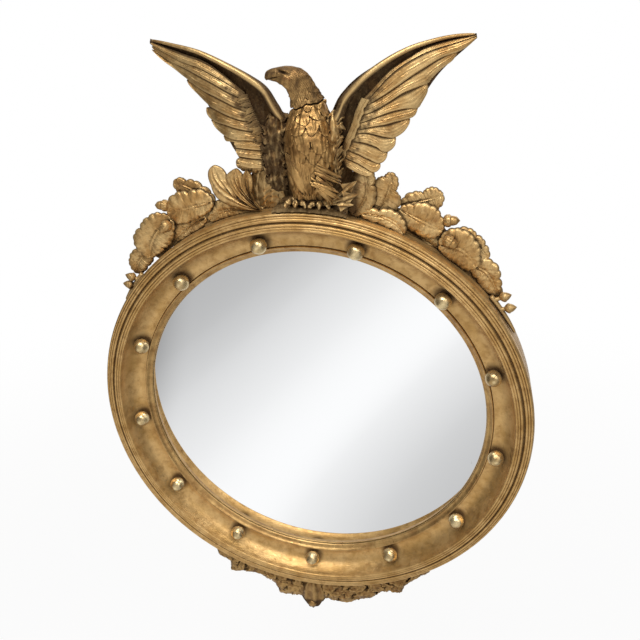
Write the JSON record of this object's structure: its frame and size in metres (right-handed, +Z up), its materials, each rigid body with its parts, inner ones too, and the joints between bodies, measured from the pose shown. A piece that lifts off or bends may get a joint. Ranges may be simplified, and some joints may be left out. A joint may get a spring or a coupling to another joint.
{
  "type": "girandole mirror",
  "caption": "Round convex wall mirror in a deep gilt cove frame set with balls, with a spread-winged eagle crest on an oak spray and a leafy carved apron.",
  "frame": {"origin": "centre of the round frame, on the plane of the wall", "axes": "+Z up, -Y out of the wall towards the viewer, +X to the right as seen from the front"},
  "size_m": [0.558, 0.0773, 0.7965],
  "materials": {
    "gilt_frame": "antique water gilding over red-brown bole, rubbed and softly shiny",
    "dark_gilt_slip": "darker worn gilding",
    "mirror_glass": "silvered convex glass, polished",
    "pine_board": "bare softwood, dry and matt",
    "pale_gilt_ball": "pale bright gilding, mottled",
    "steel_screw": "dulled steel",
    "brass_hanger": "dull aged brass",
    "carved_gilt": "antique gilding over red-brown bole, dark in the cuts and pale on worn edges",
    "dark_gilt_apron": "darker gilding, worn to brown"
  },
  "bodies": {
    "mirror": {"frame_ring": "gilt_frame", "sight_slip": "dark_gilt_slip", "mirror_glass": "mirror_glass", "backboard": "pine_board", "ball_01": "pale_gilt_ball", "ball_02": "pale_gilt_ball", "ball_03": "pale_gilt_ball", "ball_04": "pale_gilt_ball", "ball_05": "pale_gilt_ball", "ball_06": "pale_gilt_ball", "ball_07": "pale_gilt_ball", "ball_08": "pale_gilt_ball", "ball_09": "pale_gilt_ball", "ball_10": "pale_gilt_ball", "ball_11": "pale_gilt_ball", "ball_12": "pale_gilt_ball", "ball_13": "pale_gilt_ball", "backboard_screw_1": "steel_screw", "backboard_screw_2": "steel_screw", "backboard_screw_3": "steel_screw", "hanger_screw_left": "steel_screw", "hanger_screw_right": "steel_screw", "hanger_strap_left": "brass_hanger", "hanger_strap_right": "brass_hanger", "perch": "carved_gilt", "eagle_body": "carved_gilt", "eagle_head": "carved_gilt", "arrow_sheaf": "carved_gilt", "left_wing": "carved_gilt", "right_wing": "carved_gilt", "tail_fan": "carved_gilt", "left_curled_inner": "carved_gilt", "left_curled_outer": "carved_gilt", "left_leaf_under": "carved_gilt", "left_leaf_top": "carved_gilt", "left_leaf_broad": "carved_gilt", "left_leaf_low": "carved_gilt", "left_leaf_long": "carved_gilt", "left_leaf_end": "carved_gilt", "right_leaf_inner": "carved_gilt", "right_leaf_tall": "carved_gilt", "right_leaf_under": "carved_gilt", "right_leaf_top": "carved_gilt", "right_leaf_broad": "carved_gilt", "right_leaf_low": "carved_gilt", "right_leaf_back": "carved_gilt", "right_leaf_long": "carved_gilt", "right_leaf_end": "carved_gilt", "left_acorn_upper": "carved_gilt", "left_acorn_lower": "carved_gilt", "right_acorn_upper": "carved_gilt", "right_acorn_lower": "carved_gilt", "left_bud_stem": "carved_gilt", "right_bud_stem": "carved_gilt", "apron_swag_left": "dark_gilt_apron", "apron_swag_right": "dark_gilt_apron", "apron_boss": "dark_gilt_apron"},
    "ring_left": {"hanger_ring_left": "brass_hanger"},
    "ring_right": {"hanger_ring_right": "brass_hanger"}
  },
  "joints": [
    {"name": "hanger_ring_left_swing", "type": "hinge", "parent": "mirror", "child": "ring_left", "pos_m": [-0.23314, -0.0053, 0.1038], "axis": [0.9135, 0, -0.4067], "range_deg": [0, 170]},
    {"name": "hanger_ring_right_swing", "type": "hinge", "parent": "mirror", "child": "ring_right", "pos_m": [0.23314, -0.0053, 0.1038], "axis": [0.9135, 0, 0.4067], "range_deg": [0, 170]}
  ]
}
